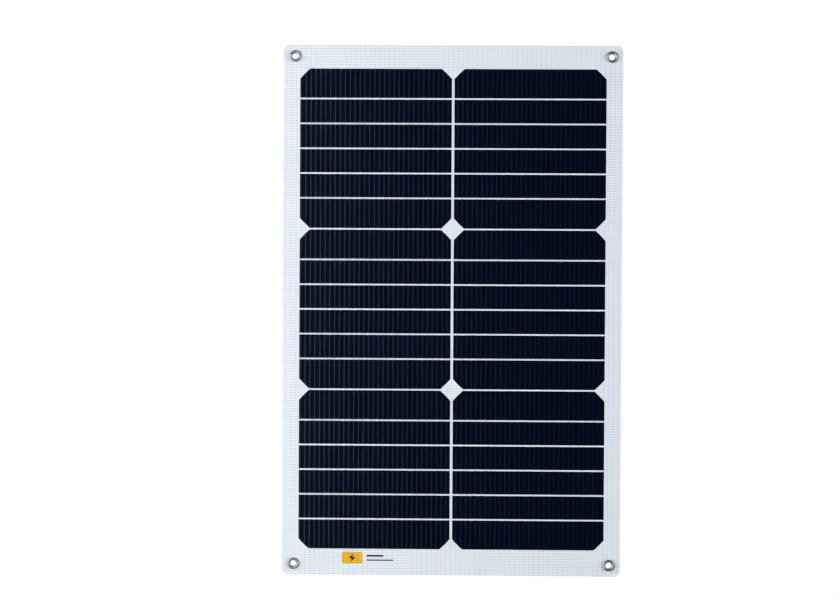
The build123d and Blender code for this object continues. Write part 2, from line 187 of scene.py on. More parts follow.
def line_along(tree, axis, pitch, width):
    """1 on lines that repeat every pitch and are about width wide, 0 between them."""
    turns = math_node(tree, "MULTIPLY", axis, 2 * math.pi / pitch)
    wave = math_node(tree, "COSINE", turns)
    edge = math.cos(math.pi * width / pitch)
    sharp = add_node(tree, "ShaderNodeMapRange", {"interpolation_type": "SMOOTHSTEP"}, Value=wave)
    sharp.inputs["From Min"].default_value = 2 * edge - 1
    sharp.inputs["From Max"].default_value = 1.0
    return sharp.outputs[0]


# %% [markdown]
# **Embossed clear film (ETFE).** The front is a fluoropolymer film pressed against a coarse cloth, so it has
# a grid of low ridges. It is clear: what the eye gets is a thin gloss that breaks up on the ridges. A thin
# film bends light too little to matter, so it is a mirror-like layer mixed over plain transparency by
# Fresnel's rule, which keeps the render clean and lets the lamps reach the cells. The pressed film has a fine
# grain and mirrors less than a smooth one, so its mirror is turned down. By how much is a choice for looks.
# The crests are scuffed by the cloth, so a little rough gloss is mixed in along them: it looks pale on black
# and grey on white. The ray goes straight through and isn't bent, but Fresnel's rule on a back face works as
# if it came out of water, and would turn back far too much. The back faces are therefore plain clear.

# %% Clear film
GRID_ACROSS = 4.03 * MM  # from one strong ridge to the next, with a weak ridge halfway
GRID_UP = 2.2 * MM
FILM_IOR = 1.40
POLISH = 0.3  # share of a smooth film's mirror that the pressed grain leaves
CREST_SCUFF = 0.11  # share of the light that a strong crest turns back
HALFWAY_SCUFF = 0.08  # a weak crest's share of a strong one's
BEADING = 1.0  # how much of a strong crest's scuff comes and goes along it
STRONG_LINE = 0.9 * MM  # widths of the scuffed lines
WEAK_LINE = 0.6 * MM
LEVEL_LINE = 0.85 * MM
FILM_ROUGHNESS = 0.1
SCUFF_ROUGHNESS = 0.34


def crest_lines(tree):
    """How scuffed the film is: 0 in the flats, and most where a strong crest crosses a level one."""
    across, up = sheet_axes(tree)
    strong = line_along(tree, across, GRID_ACROSS, STRONG_LINE)
    weak = line_along(tree, across, GRID_ACROSS / 2, WEAK_LINE)
    level = line_along(tree, up, GRID_UP, LEVEL_LINE)
    beads = math_node(tree, "ADD", math_node(tree, "MULTIPLY", level, BEADING), 1 - BEADING)
    lines = math_node(tree, "MULTIPLY", strong, beads)
    return math_node(tree, "ADD", lines, math_node(tree, "MULTIPLY", weak, HALFWAY_SCUFF))


def make_clear_film():
    material, tree = new_material("etfe_film_embossed")
    face = add_node(tree, "ShaderNodeNewGeometry")
    outward = math_node(tree, "SUBTRACT", 1.0, face.outputs["Backfacing"])
    fresnel = add_node(tree, "ShaderNodeFresnel", IOR=FILM_IOR)
    polish = math_node(tree, "MULTIPLY", outward, POLISH)
    mirror_share = math_node(tree, "MULTIPLY", fresnel.outputs[0], polish)
    see_through = add_node(tree, "ShaderNodeBsdfTransparent", Color=linear("#FDFEFE"))
    gloss = add_node(tree, "ShaderNodeBsdfGlossy", Color=linear("#FFFFFF"), Roughness=FILM_ROUGHNESS)
    film = add_node(
        tree, "ShaderNodeMixShader", i0=mirror_share, i1=see_through.outputs[0], i2=gloss.outputs[0]
    )
    scuffs = add_node(tree, "ShaderNodeBsdfGlossy", Color=linear("#B3CAE6"), Roughness=SCUFF_ROUGHNESS)
    scuffed = math_node(tree, "MULTIPLY", crest_lines(tree), CREST_SCUFF)
    share = math_node(tree, "MULTIPLY", scuffed, outward)
    mixed = add_node(tree, "ShaderNodeMixShader", i0=share, i1=film.outputs[0], i2=scuffs.outputs[0])
    finish_material(tree, mixed)
    return material


clear_film = make_clear_film()


# %% [markdown]
# ** White encapsulant (EVA).** Behind and between the cells lies a white resin film. It flows a little in the
# laminator, so its white is faintly cloudy. Fine grey lines along the grid of the clear film's ridges are
# painted into its colour: painted shade, for the shade that those ridges throw on it.

# %% White film
# Painted shade: the darker tint along the level and upright lines stands for the shade of the clear film's
# ridges.
LEVEL_PAINTED_SHADE = 0.42  # how much of the darker tint shows in the level lines
WEAK_PAINTED_SHADE = 0.24  # and in the upright ones
CLOUDING = 0.25
LEVEL_SHADE_WIDTH = 0.6 * MM  # widths of the lines
WEAK_SHADE_WIDTH = 0.7 * MM
CLOUDS_PER_METRE = 45.0


def make_white_film():
    material, tree = new_material("eva_film_white")
    across, up = sheet_axes(tree)
    # The grid lines here are painted shade, not a mark in the resin.
    weak = line_along(tree, across, GRID_ACROSS / 2, WEAK_SHADE_WIDTH)
    level = line_along(tree, up, GRID_UP, LEVEL_SHADE_WIDTH)
    lines = math_node(tree, "MULTIPLY", level, LEVEL_PAINTED_SHADE)
    lines = math_node(tree, "ADD", lines, math_node(tree, "MULTIPLY", weak, WEAK_PAINTED_SHADE))
    place = add_node(tree, "ShaderNodeTexCoord")
    clouds = add_node(
        tree,
        "ShaderNodeTexNoise",
        Vector=place.outputs["Object"],
        Scale=CLOUDS_PER_METRE,
        Detail=3.0,
    )
    clouds_and_painted_shade = math_node(tree, "ADD", lines, math_node(tree, "MULTIPLY", clouds.outputs[0], CLOUDING))
    tint = add_node(tree, "ShaderNodeMix", {"data_type": "RGBA"}, i0=clouds_and_painted_shade)
    tint.inputs[6].default_value = linear("#EFF1F8")
    tint.inputs[7].default_value = linear("#CBD1DC")
    shader = add_node(tree, "ShaderNodeBsdfPrincipled", Base_Color=tint.outputs[2], Roughness=0.6)
    shader.inputs["Specular IOR Level"].default_value = 0.1
    finish_material(tree, shader)
    return material


white_film = make_white_film()


# %% [markdown]
# **Back-contact silicon.** A polished wafer with an anti-reflection coat is almost black, with a trace of
# blue. Its metal is all behind, so the face is plain. Cast in resin it has no gloss of its own.

# %% Silicon
def make_silicon():
    material, tree = new_material("silicon_back_contact")
    place = add_node(tree, "ShaderNodeTexCoord")
    patches = add_node(tree, "ShaderNodeTexNoise", Vector=place.outputs["Object"], Scale=14.0, Detail=2.0)
    tint = add_node(tree, "ShaderNodeMix", {"data_type": "RGBA"}, i0=patches.outputs[0])
    tint.inputs[6].default_value = linear("#010819")
    tint.inputs[7].default_value = linear("#030B1E")
    shader = add_node(tree, "ShaderNodeBsdfPrincipled", Base_Color=tint.outputs[2], Roughness=0.5)
    shader.inputs["Specular IOR Level"].default_value = 0.0
    finish_material(tree, shader)
    return material


silicon = make_silicon()


# %% [markdown]
# **Glass-reinforced back sheet.** A white epoxy laminate on woven glass. It is satin, and the threads print
# through as a fine even check. In a plain weave each thread goes over one and under one, so two waves, one
# along each axis and multiplied, give the check. It tints the white a little and raises it a little.

# %% Back sheet
WEAVE = 2.6 * MM  # spacing of the checks; real cloth of this weight has 0.6 mm, too fine to show
WEAVE_TINT = 0.4  # the weave's part in the tint; the rest is the resin's own clouding
WEAVE_RELIEF = 0.12 * MM


def make_back_sheet():
    material, tree = new_material("glass_epoxy_white")
    across, up = sheet_axes(tree)
    warp = math_node(tree, "SINE", math_node(tree, "MULTIPLY", across, 2 * math.pi / WEAVE))
    weft = math_node(tree, "SINE", math_node(tree, "MULTIPLY", up, 2 * math.pi / WEAVE))
    check = math_node(tree, "MULTIPLY", warp, weft)
    cloth = math_node(tree, "MULTIPLY", math_node(tree, "ADD", check, 1.0), 0.5)
    place = add_node(tree, "ShaderNodeTexCoord")
    clouds = add_node(tree, "ShaderNodeTexNoise", Vector=place.outputs["Object"], Scale=22.0, Detail=4.0)
    white = math_node(tree, "MULTIPLY", clouds.outputs[0], 1 - WEAVE_TINT)
    white = math_node(tree, "ADD", white, math_node(tree, "MULTIPLY", cloth, WEAVE_TINT))
    tint = add_node(tree, "ShaderNodeMix", {"data_type": "RGBA"}, i0=white)
    tint.inputs[6].default_value = linear("#D3D7DA")
    tint.inputs[7].default_value = linear("#EFF1F2")
    bump = add_node(tree, "ShaderNodeBump", Height=cloth, Strength=0.6, Distance=WEAVE_RELIEF)
    shader = add_node(
        tree, "ShaderNodeBsdfPrincipled", Base_Color=tint.outputs[2], Roughness=0.42, Normal=bump.outputs[0]
    )
    finish_material(tree, shader)
    return material


back_white = make_back_sheet()


# %% [markdown]
# **Tumbled stainless steel.** The eyelets are pressed from thin sheet and tumbled bright, which leaves fine
# scuffs all over, so the roughness wanders a little. The pin and the tinned copper have the same tree.

# %% Steel
SMOOTHER, ROUGHER = 0.06, 0.1  # how far the roughness wanders either way


def make_steel(name, colour, roughness):
    """A bare metal whose roughness wanders, from a little under the named one to a little over it."""
    material, tree = new_material(name)
    place = add_node(tree, "ShaderNodeTexCoord")
    scuffs = add_node(tree, "ShaderNodeTexNoise", Vector=place.outputs["Object"], Scale=900.0, Detail=3.0)
    rough = add_node(tree, "ShaderNodeMapRange", Value=scuffs.outputs[0])
    rough.inputs["To Min"].default_value = roughness - SMOOTHER
    rough.inputs["To Max"].default_value = roughness + ROUGHER
    shader = add_node(
        tree,
        "ShaderNodeBsdfPrincipled",
        Base_Color=linear(colour),
        Metallic=1.0,
        Roughness=rough.outputs[0],
    )
    finish_material(tree, shader)
    return material


eyelet_steel = make_steel("stainless_steel_tumbled", "#94969A", 0.3)
pin_steel = make_steel("stainless_steel_drawn", "#A9ABAD", 0.3)


# %% [markdown]
# **Moulded plastics.** The box is ABS from a spark-eroded mould, which leaves a fine even grain. The glands
# are nylon, a little smoother and darker. The same tree serves both, and the rubber, silicone and epoxy too,
# each with its own colour and grain. Spark grain is about 0.1 mm across, too fine to show, so it is drawn
# coarser.

# %% Plastics and rubber
def make_moulded(name, dark, light, roughness, grain, depth):
    """A moulded plastic or rubber. grain is the size of its texture's bumps in metres."""
    material, tree = new_material(name)
    place = add_node(tree, "ShaderNodeTexCoord")
    bumps = add_node(tree, "ShaderNodeTexNoise", Vector=place.outputs["Object"], Scale=1 / grain, Detail=2.0)
    clouds = add_node(tree, "ShaderNodeTexNoise", Vector=place.outputs["Object"], Scale=60.0, Detail=3.0)
    tint = add_node(tree, "ShaderNodeMix", {"data_type": "RGBA"}, i0=clouds.outputs[0])
    tint.inputs[6].default_value = linear(dark)
    tint.inputs[7].default_value = linear(light)
    bump = add_node(tree, "ShaderNodeBump", Height=bumps.outputs[0], Strength=0.5, Distance=depth)
    shader = add_node(
        tree,
        "ShaderNodeBsdfPrincipled",
        Base_Color=tint.outputs[2],
        Roughness=roughness,
        Normal=bump.outputs[0],
    )
    finish_material(tree, shader)
    return material


box_abs = make_moulded("abs_black_sparked", "#16171A", "#25272A", 0.42, 0.9 * MM, 0.06 * MM)
gland_nylon = make_moulded("nylon_black_satin", "#121314", "#1B1C1E", 0.38, 0.9 * MM, 0.02 * MM)
seal_rubber = make_moulded("nitrile_rubber", "#1A1A1A", "#262626", 0.7, 0.7 * MM, 0.03 * MM)
silicone = make_moulded("silicone_adhesive", "#C9CBC8", "#DADBD8", 0.45, 1.5 * MM, 0.05 * MM)
diode_epoxy = make_moulded("epoxy_moulding", "#0E0E10", "#18181B", 0.3, 0.6 * MM, 0.01 * MM)
tinned_copper = make_steel("copper_tinned", "#C9C8C4", 0.36)


# %% [markdown]
# ## Making meshes
# The layers are closed slabs. A slab needs rows of points along its bend, or it would fold like card, so
# each is cut across every few millimetres. The copies and the pressed grid are made by Geometry Nodes: a
# small tree with named inputs runs on a mesh, and the result is kept as a plain mesh, with no modifier left.

# %% Mesh helpers
def make_object(name, bm, *materials):
    """A bmesh as an object at the origin, with smooth faces and sharp edges where it turns a corner."""
    bmesh.ops.recalc_face_normals(bm, faces=bm.faces)
    mesh = bpy.data.meshes.new(name)
    bm.to_mesh(mesh)
    bm.free()
    for material in materials:
        mesh.materials.append(material)
    piece = bpy.data.objects.new(name, mesh)
    bpy.context.scene.collection.objects.link(piece)
    shade(piece)
    return piece


def shade(piece, corner=math.radians(35)):
    """Smooth shading, except across edges sharper than corner."""
    piece.data.shade_smooth()
    piece.data.set_sharp_from_angle(angle=corner)


def keep_result(piece):
    """Turns a piece with modifiers into the plain mesh that they make."""
    bpy.context.view_layer.update()
    made = bpy.data.meshes.new_from_object(piece.evaluated_get(bpy.context.evaluated_depsgraph_get()))
    piece.modifiers.clear()
    piece.data = made
    return piece


def apply_tree(piece, tree, **values):
    """Runs a Geometry Nodes tree on a piece with the named inputs, and keeps the plain mesh."""
    modifier = piece.modifiers.new(tree.name, "NODES")
    modifier.node_group = tree
    for item in tree.interface.items_tree:
        if item.item_type == "SOCKET" and item.in_out == "INPUT" and item.name in values:
            modifier[item.identifier] = values[item.name]
    return keep_result(piece)


def start_tree(name, **inputs):
    """A Geometry Nodes tree with a geometry input, the named inputs and a geometry output."""
    tree = bpy.data.node_groups.new(name, "GeometryNodeTree")
    tree.interface.new_socket("Geometry", in_out="INPUT", socket_type="NodeSocketGeometry")
    tree.interface.new_socket("Geometry", in_out="OUTPUT", socket_type="NodeSocketGeometry")
    for label, kind in inputs.items():
        tree.interface.new_socket(label, in_out="INPUT", socket_type="NodeSocket" + kind)
    return tree, tree.nodes.new("NodeGroupInput").outputs


def end_tree(tree, geometry):
    """Links the last geometry to the tree's output."""
    tree.links.new(geometry, tree.nodes.new("NodeGroupOutput").inputs[0])


def map_sheet(piece):
    """Gives a layer the map that its patterns read: metres across and metres up, at rest."""
    mesh = piece.data
    layer = mesh.uv_layers.new(name="sheet")
    for loop in mesh.loops:
        place = mesh.vertices[loop.vertex_index].co
        layer.data[loop.index].uv = (place.x, place.z)


# %% [markdown]
# ## The bend
# The CAD panels are rigid, but the real sheet bends everywhere. Each layer is made of pieces that reach from
# the middle of one panel to the middle of the next. All the seams fall in the gaps between the rows of cells.

# %% Rows of cells, seams and the stretch that bends
STRIPS_PER_WAFER = 6
STRIP_GAP = 1.25 * MM
END_STRIP = 24.1 * MM  # first and last strip of a wafer
COLUMN_GAP = 2.1 * MM
CORNER_CUT = 8.3 * MM
ROWS = 2 * PANELS

cells_left, cells_right = span("cells_1")[0].x, span("cells_1")[1].x
wafer_size = (cells_right - cells_left - COLUMN_GAP) / 2
middle_strip = (wafer_size - 2 * END_STRIP) / (STRIPS_PER_WAFER - 2)


def row_edges():
    """Upper and lower edge of every row of cells, from the top."""
    edges, top = [], span("cells_1")[1].z
    for row in range(ROWS):
        place = row % STRIPS_PER_WAFER
        height = END_STRIP if place in (0, STRIPS_PER_WAFER - 1) else middle_strip
        edges.append((top, top - height))
        top -= height + STRIP_GAP
    return edges


rows = row_edges()
seam_z = [(rows[2 * k][1] + rows[2 * k + 1][0]) / 2 for k in range(PANELS)]
BENDS = PANELS - 1


def bend_span(bend):
    """Upper and lower edge of the layer pieces that cross one hinge line."""
    upper = top_z if bend == 0 else seam_z[bend]
    lower = bottom_z if bend == BENDS - 1 else seam_z[bend + 1]
    return upper, lower


def bend_zone(bend):
    """Where the sheet starts and stops bending about one hinge line. The box holds the top stretch flat."""
    start = span("box_adhesive")[0].z if bend == 0 else seam_z[bend]
    return start, seam_z[bend + 1]


def bend_piece(piece, bend, *stands_for):
    """Bakes a layer piece's place into its mesh and hides the CAD layers that it stands for."""
    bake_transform(piece)
    last = [bend + 2] if bend == BENDS - 1 else []
    for layer in stands_for:
        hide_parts(*[f"{layer}_{k}" for k in [bend + 1, *last]])


cad_edge = span(f"cells_{PANELS}")[0].z
print("bottom cell edge", round(rows[-1][1] / MM, 2), "CAD", round(cad_edge / MM, 2))


# %% [markdown]
# ## Plain layers: white film and back sheet
# A layer's outline is a rectangle, rounded at the sheet's four corners, with round holes for the eyelets.
# The holes are cut by a Boolean, and then the slab is sliced across so that it can bend.

# %% Slabs
SLICE = 2.2 * MM  # height of a layer's slices
ARC_STEPS = 12
HOLE_STEPS = 64


def end_outline(upper, lower):
    """The sheet's outline between two heights, with the corners that lie there rounded."""
    points = []
    turns = [(1, top_z, upper == top_z, 0), (-1, top_z, upper == top_z, 90)]
    turns += [(-1, bottom_z, lower == bottom_z, 180), (1, bottom_z, lower == bottom_z, 270)]
    for side, end, rounded, first in turns:
        if not rounded:
            points.append((side * half_width, upper if end == top_z else lower))
            continue
        centre_x = side * (half_width - corner_radius)
        centre_z = end - math.copysign(corner_radius, end)
        for step in range(ARC_STEPS + 1):
            angle = math.radians(first + 90 * step / ARC_STEPS)
            across, up = corner_radius * math.cos(angle), corner_radius * math.sin(angle)
            points.append((centre_x + across, centre_z + up))
    return points


def prism(points, y_near, y_far):
    """A closed slab with this outline, between two depths."""
    bm = bmesh.new()
    face = bm.faces.new([bm.verts.new((x, y_near, z)) for x, z in points])
    moved = bmesh.ops.extrude_face_region(bm, geom=[face])["geom"]
    far = [v for v in moved if isinstance(v, bmesh.types.BMVert)]
    bmesh.ops.translate(bm, verts=far, vec=(0, y_far - y_near, 0))
    return bm


def slice_across(bm, upper, lower, step=SLICE):
    """Cuts a slab across at even heights, so that it can bend."""
    count = max(1, round((upper - lower) / step))
    for cut in range(1, count):
        height = upper + (lower - upper) * cut / count
        everything = bm.verts[:] + bm.edges[:] + bm.faces[:]
        bmesh.ops.bisect_plane(bm, geom=everything, plane_co=(0, 0, height), plane_no=(0, 0, 1), dist=1e-7)


def hole_cutters(bend):
    """Round cutters for the eyelets in one bend's pieces, or nothing."""
    heights = ([eyelet_z] if bend == 0 else []) + ([-eyelet_z] if bend == BENDS - 1 else [])
    if not heights:
        return None
    bm = bmesh.new()
    for height in heights:
        for x in (-eyelet_x, eyelet_x):
            ring = []
            for step in range(HOLE_STEPS):
                angle = 2 * math.pi * step / HOLE_STEPS
                ring.append((x + eyelet_hole * math.cos(angle), height + eyelet_hole * math.sin(angle)))
            face = bm.faces.new([bm.verts.new((px, 2 * y_front, pz)) for px, pz in ring])
            moved = bmesh.ops.extrude_face_region(bm, geom=[face])["geom"]
            far = [v for v in moved if isinstance(v, bmesh.types.BMVert)]
            bmesh.ops.translate(bm, verts=far, vec=(0, -4 * y_front, 0))
    return make_object(f"cutter_{bend}", bm)


def cut_away(piece, cutter, operation="DIFFERENCE"):
    """Cuts a piece with another and keeps the result."""
    modifier = piece.modifiers.new("cut", "BOOLEAN")
    modifier.operation = operation
    modifier.solver = "EXACT"
    modifier.object = cutter
    return keep_result(piece)


def resliced(piece, upper, lower):
    """The same piece with slices across it."""
    bm = bmesh.new()
    bm.from_mesh(piece.data)
    slice_across(bm, upper, lower)
    bm.to_mesh(piece.data)
    bm.free()
    return piece


cutters = {bend: hole_cutters(bend) for bend in range(BENDS)}


def plain_layer(name, bend, y_near, y_far, material):
    """One bend's share of a flat layer."""
    piece = make_object(f"{name}_{bend + 1}", prism(end_outline(*bend_span(bend)), y_near, y_far), material)
    if cutters[bend]:
        cut_away(piece, cutters[bend])
    resliced(piece, *bend_zone(bend))
    shade(piece)
    map_sheet(piece)
    return piece


for bend in range(BENDS):
    film = plain_layer("white_film", bend, y_film, y_back_sheet, white_film)
    bend_piece(film, bend, "encapsulant")
    backing = plain_layer("backing", bend, y_back_sheet, 0.0, back_white)
    bend_piece(backing, bend, "back_sheet")
print("layers made for", BENDS, "bends")


# %% [markdown]
# ## Cells
# A wafer is a square sawn from a round ingot, which clips its corners, and then cut into strips. Only the
# first and last strip of a wafer have clipped ends. One strip of each row is drawn, and a node tree copies it
# to both columns.

# %% A tree that copies a mesh along a line
def make_copies_tree():
    """Copies of the mesh that it is given, the first at Start and each next one moved by Step."""
    inputs = {"Start": "Vector", "Step": "Vector", "Count": "Int", "Material": "Material"}
    tree, given = start_tree("copies_in_line", **inputs)
    line = add_node(
        tree,
        "GeometryNodeMeshLine",
        {"mode": "OFFSET"},
        Count=given["Count"],
        Start_Location=given["Start"],
        Offset=given["Step"],
    )
    copied = given["Geometry"]
    placed = add_node(tree, "GeometryNodeInstanceOnPoints", Points=line.outputs[0], Instance=copied)
    real = add_node(tree, "GeometryNodeRealizeInstances", Geometry=placed.outputs[0])
    painted = add_node(
        tree, "GeometryNodeSetMaterial", Geometry=real.outputs[0], Material=given["Material"]
    )
    end_tree(tree, painted.outputs[0])
    return tree


copies_in_line = make_copies_tree()


# %% [markdown]
# The clipped ends of the strips lie on the ingot's own circle. Its radius follows from the wafer's width and
# from how much is cut off each corner. The saw's straight cuts make every other edge.

# %% Strips of cells
PROUD = 0.02 * MM  # how far the cells stand out of the white film, so that the two faces don't fight
ingot_radius = math.hypot(wafer_size / 2, wafer_size / 2 - CORNER_CUT)


def strip_outline(row):
    """Outline of one strip about x = 0. An end strip's outer corners follow the ingot."""
    top, bottom = rows[row]
    half, place = wafer_size / 2, row % STRIPS_PER_WAFER
    if place not in (0, STRIPS_PER_WAFER - 1):
        return [(-half, bottom), (half, bottom), (half, top), (-half, top)]
    first = place == 0
    outer, inner = (top, bottom) if first else (bottom, top)
    centre = outer - half if first else outer + half
    sign = 1 if first else -1
    start, end = math.acos(half / ingot_radius), math.asin(half / ingot_radius)
    arc = []
    for step in range(ARC_STEPS + 1):
        angle = start + (end - start) * step / ARC_STEPS
        arc.append((ingot_radius * math.cos(angle), centre + sign * ingot_radius * math.sin(angle)))
    return [(half, inner), *arc, *[(-x, z) for x, z in reversed(arc)], (-half, inner)]


def rows_of(bend):
    """The rows of cells that one bend's pieces hold."""
    first = 0 if bend == 0 else 2 * bend + 1
    last = ROWS - 1 if bend == BENDS - 1 else 2 * bend + 2
    return range(first, last + 1)


for bend in range(BENDS):
    bm = bmesh.new()
    for row in rows_of(bend):
        strip = prism(strip_outline(row), y_film - PROUD, y_cell_back)
        part = bpy.data.meshes.new("strip")
        strip.to_mesh(part)
        strip.free()
        bm.from_mesh(part)
        bpy.data.meshes.remove(part)
    slice_across(bm, *bend_zone(bend), step=2 * SLICE)
    strips = make_object(f"cell_strips_{bend + 1}", bm)
    column = (wafer_size + COLUMN_GAP) / 2
    values = {"Start": (-column, 0.0, 0.0), "Step": (2 * column, 0.0, 0.0), "Count": 2}
    apply_tree(strips, copies_in_line, Material=silicon, **values)
    bend_piece(strips, bend, "cells")
print("rows of cells:", ROWS)


# %% [markdown]
# ## Clear front
# The front film and the clear resin under it read as one clear block. Its face is pressed with the grid, and
# a real ridge throws a real glint, so the grid is in the mesh and not only painted on. A flat slab is laid
# out with points on every ridge and groove, and a node tree pushes the points down by a formula: a strong
# ridge, a weak one halfway, and low ridges across them.

# %% The embossing tree
EMBOSS_DEPTH = 0.16 * MM
STRONG_SHARE = 0.6  # of the ridge height, in the wide-spaced ridges
UP_SHARE = 0.35  # how much of the height the level grooves take away


def ridge(tree, axis, pitch):
    """1 on the crest of a wave that repeats every pitch, 0 in its trough."""
    turns = math_node(tree, "DIVIDE", axis, pitch)
    wave = math_node(tree, "COSINE", math_node(tree, "MULTIPLY", turns, 2 * math.pi))
    return math_node(tree, "MULTIPLY", math_node(tree, "ADD", wave, 1.0), 0.5)


def make_emboss_tree():
    """Pushes the front points of a slab back into a grid of ridges."""
    inputs = dict.fromkeys(("Pitch across", "Pitch up", "Depth", "Front"), "Float")
    tree, given = start_tree("emboss_grid", **inputs, Material="Material")
    place = tree.nodes.new("GeometryNodeInputPosition").outputs[0]
    axes = add_node(tree, "ShaderNodeSeparateXYZ", Vector=place)
    strong = ridge(tree, axes.outputs[0], given["Pitch across"])
    half_pitch = math_node(tree, "MULTIPLY", given["Pitch across"], 0.5)
    weak = ridge(tree, axes.outputs[0], half_pitch)
    level = ridge(tree, axes.outputs[2], given["Pitch up"])
    across = math_node(tree, "MULTIPLY", strong, STRONG_SHARE)
    across = math_node(tree, "ADD", across, math_node(tree, "MULTIPLY", weak, 1 - STRONG_SHARE))
    beads = math_node(tree, "ADD", math_node(tree, "MULTIPLY", level, UP_SHARE), 1 - UP_SHARE)
    height = math_node(tree, "MULTIPLY", across, beads)
    drop = math_node(tree, "MULTIPLY", math_node(tree, "SUBTRACT", 1.0, height), given["Depth"])
    offset = add_node(tree, "ShaderNodeCombineXYZ", Y=drop)
    in_front = add_node(
        tree, "FunctionNodeCompare", {"data_type": "FLOAT", "operation": "LESS_THAN"}, A=axes.outputs[1]
    )
    tree.links.new(given["Front"], in_front.inputs["B"])
    moved = add_node(
        tree,
        "GeometryNodeSetPosition",
        Geometry=given["Geometry"],
        Selection=in_front.outputs[0],
        Offset=offset.outputs[0],
    )
    painted = add_node(
        tree, "GeometryNodeSetMaterial", Geometry=moved.outputs[0], Material=given["Material"]
    )
    end_tree(tree, painted.outputs[0])
    return tree


emboss_grid = make_emboss_tree()


# %% [markdown]
# The points of the slab's face lie on whole steps of the grid, counted from the sheet's middle, so the grid
# runs on from one bend's piece to the next. A line of points that would fall almost on a piece's edge is left
# out. The first and last piece are then cut to the sheet's outline.

# %% Clear slabs with the grid
POINTS_ACROSS = 6  # for each strong ridge
POINTS_UP = 3  # for each level ridge
FILM_SETBACK = 0.05 * MM  # room between the clear block's back and the cells
NARROWEST = 1 / 9  # of a grid step, below which two lines of points are merged
FRONT_SLACK = 0.01 * MM  # depth that still counts as the front


def gridded_slab(upper, lower, y_near, y_far):
    """A closed slab whose front is a fine grid and whose back and sides are plain."""
    step_x, step_z = GRID_ACROSS / POINTS_ACROSS, GRID_UP / POINTS_UP
    reach = math.floor(half_width / step_x)
    xs = [-half_width, *[i * step_x for i in range(-reach, reach + 1)], half_width]
    low, high = math.ceil(lower / step_z), math.floor(upper / step_z)
    zs = [lower, *[i * step_z for i in range(low, high + 1)], upper]
    xs = [x for i, x in enumerate(xs) if i == 0 or x - xs[i - 1] > step_x * NARROWEST]
    zs = [z for i, z in enumerate(zs) if i == 0 or z - zs[i - 1] > step_z * NARROWEST]
    xs[-1], zs[-1] = half_width, upper
    bm = bmesh.new()
    front = [[bm.verts.new((x, y_near, z)) for x in xs] for z in zs]
    back = [[bm.verts.new((x, y_far, z)) for x in (xs[0], xs[-1])] for z in zs]
    for j in range(len(zs) - 1):
        for i in range(len(xs) - 1):
            bm.faces.new((front[j][i], front[j][i + 1], front[j + 1][i + 1], front[j + 1][i]))
        bm.faces.new((back[j][0], back[j + 1][0], back[j + 1][1], back[j][1]))
        bm.faces.new((front[j][0], front[j + 1][0], back[j + 1][0], back[j][0]))
        bm.faces.new((front[j][-1], back[j][1], back[j + 1][1], front[j + 1][-1]))
    bm.faces.new([*front[0], back[0][1], back[0][0]])
    bm.faces.new([*front[-1], back[-1][1], back[-1][0]])
    return bm


for bend in range(BENDS):
    upper, lower = bend_span(bend)
    slab = gridded_slab(upper, lower, y_front, y_film - FILM_SETBACK)
    front = make_object(f"clear_front_{bend + 1}", slab)
    if cutters[bend]:
        outline = make_object("outline", prism(end_outline(upper, lower), 2 * y_front, -y_front))
        cut_away(outline, cutters[bend])
        cut_away(front, outline, "INTERSECT")
        bpy.data.objects.remove(outline)
    values = {"Pitch across": GRID_ACROSS, "Pitch up": GRID_UP, "Depth": EMBOSS_DEPTH}
    apply_tree(front, emboss_grid, Front=y_front + FRONT_SLACK, Material=clear_film, **values)
    shade(front)
    map_sheet(front)
    bend_piece(front, bend, "front_sheet")
    print(front.name, len(front.data.polygons), "faces")

for cutter in cutters.values():
    if cutter:
        bpy.data.objects.remove(cutter)


# %% [markdown]
# ## Eyelets
# An eyelet is pressed from one disc of steel: a barrel through the sheet, a rolled flange in front, and an
# end that is curled over a washer behind. It is round, so one outline turned about its own axis makes it,
# and the same copying tree puts it in both corners of an end.

# %% A turned ring
RING_STEPS = 72


def turned(outline):
    """A closed ring: an outline in radius and depth, turned about the Y axis."""
    bm = bmesh.new()
    rings = []
    for step in range(RING_STEPS):
        angle = 2 * math.pi * step / RING_STEPS
        rings.append([bm.verts.new((r * math.cos(angle), y, r * math.sin(angle))) for r, y in outline])
    count = len(outline)
    for step in range(RING_STEPS):
        ring, following = rings[step], rings[(step + 1) % RING_STEPS]
        for i in range(count):
            bm.faces.new((ring[i], ring[(i + 1) % count], following[(i + 1) % count], following[i]))
    return bm


def half_round(first, last, height, steps=12):
    """Points of a rolled edge from one radius to another, as half an ellipse of that height."""
    (r0, y0), (r1, y1) = first, last
    points = []
    for step in range(steps + 1):
        turn = math.pi * step / steps
        share = (1 - math.cos(turn)) / 2
        points.append((r0 + (r1 - r0) * share, y0 + (y1 - y0) * share + height * math.sin(turn)))
    return points


# %% [markdown]
# The eyelet's section starts at the rim of the front flange, rolls into the bore, runs down it and curls out
# over the washer. The washer is a flat ring whose rear edges are broken, as stamping and tumbling leave them.

# %% Eyelets and washers
BORE = 2.5 * MM  # radius, as the next one is
BARREL = 2.9 * MM
WASHER = 0.5 * MM  # thickness
BROKEN_EDGE = 0.08 * MM
CURL_REACH = 1.4 * MM
LIP = 0.35 * MM  # how far the flange rolls into the bore before it runs straight


def eyelet_outline():
    """Half section of an eyelet, in radius and depth."""
    front_height, rear_height = eyelet_low.y - y_front, eyelet_high.y - WASHER
    rolled = half_round((eyelet_radius, y_front), (BORE, y_front + LIP), front_height - LIP / 2)
    curled = half_round((BORE, WASHER - LIP), (BARREL + CURL_REACH, WASHER), rear_height + LIP / 2)
    return [*rolled, *curled, (BARREL, WASHER), (BARREL, y_front)]


def washer_outline():
    """Half section of a washer, in radius and depth."""
    low, high = span("eyelet_washers_top")
    inner, outer = eyelet_hole, (high.z - low.z) / 2
    edge = BROKEN_EDGE
    return [
        (inner, 0.0),
        (outer, 0.0),
        (outer, WASHER - edge),
        (outer - edge, WASHER),
        (inner + edge, WASHER),
        (inner, WASHER - edge),
    ]


